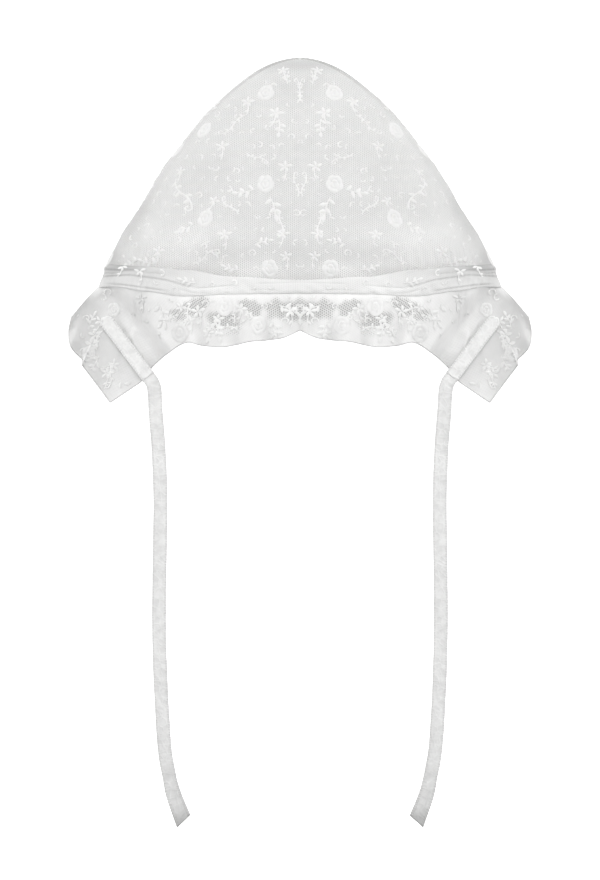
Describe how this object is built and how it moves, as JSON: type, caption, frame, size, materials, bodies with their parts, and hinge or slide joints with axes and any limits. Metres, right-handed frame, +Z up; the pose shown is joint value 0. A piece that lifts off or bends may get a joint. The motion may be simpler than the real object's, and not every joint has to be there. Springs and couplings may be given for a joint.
{
  "type": "baby bonnet",
  "caption": "Baby's peaked lace bonnet with a lined lace crown, a gathered forehead band, a lace ruffle that fans into side flaps, and long hanging ties.",
  "frame": {"origin": "the middle of the opening for the head, at the level of the forehead band, where the bonnet sits on a head", "axes": "+Z up to the peak, -Y to the front of the face, +X to the right as seen from the front"},
  "size_m": [0.254, 0.1373, 0.4233],
  "materials": {
    "lining_cotton": "fine plain-woven cotton, matt",
    "embroidered_tulle": "sheer tulle net with satin-stitched flowers",
    "tie_ribbon": "plain cotton sateen, soft sheen"
  },
  "bodies": {
    "root": {"crown_lining": "lining_cotton", "crown_lace": "embroidered_tulle", "front_band": "embroidered_tulle", "ruffle": "embroidered_tulle", "tie_stay_left": "tie_ribbon", "tie_stay_right": "tie_ribbon", "tie_left": "tie_ribbon", "tie_right": "tie_ribbon"}
  },
  "joints": []
}
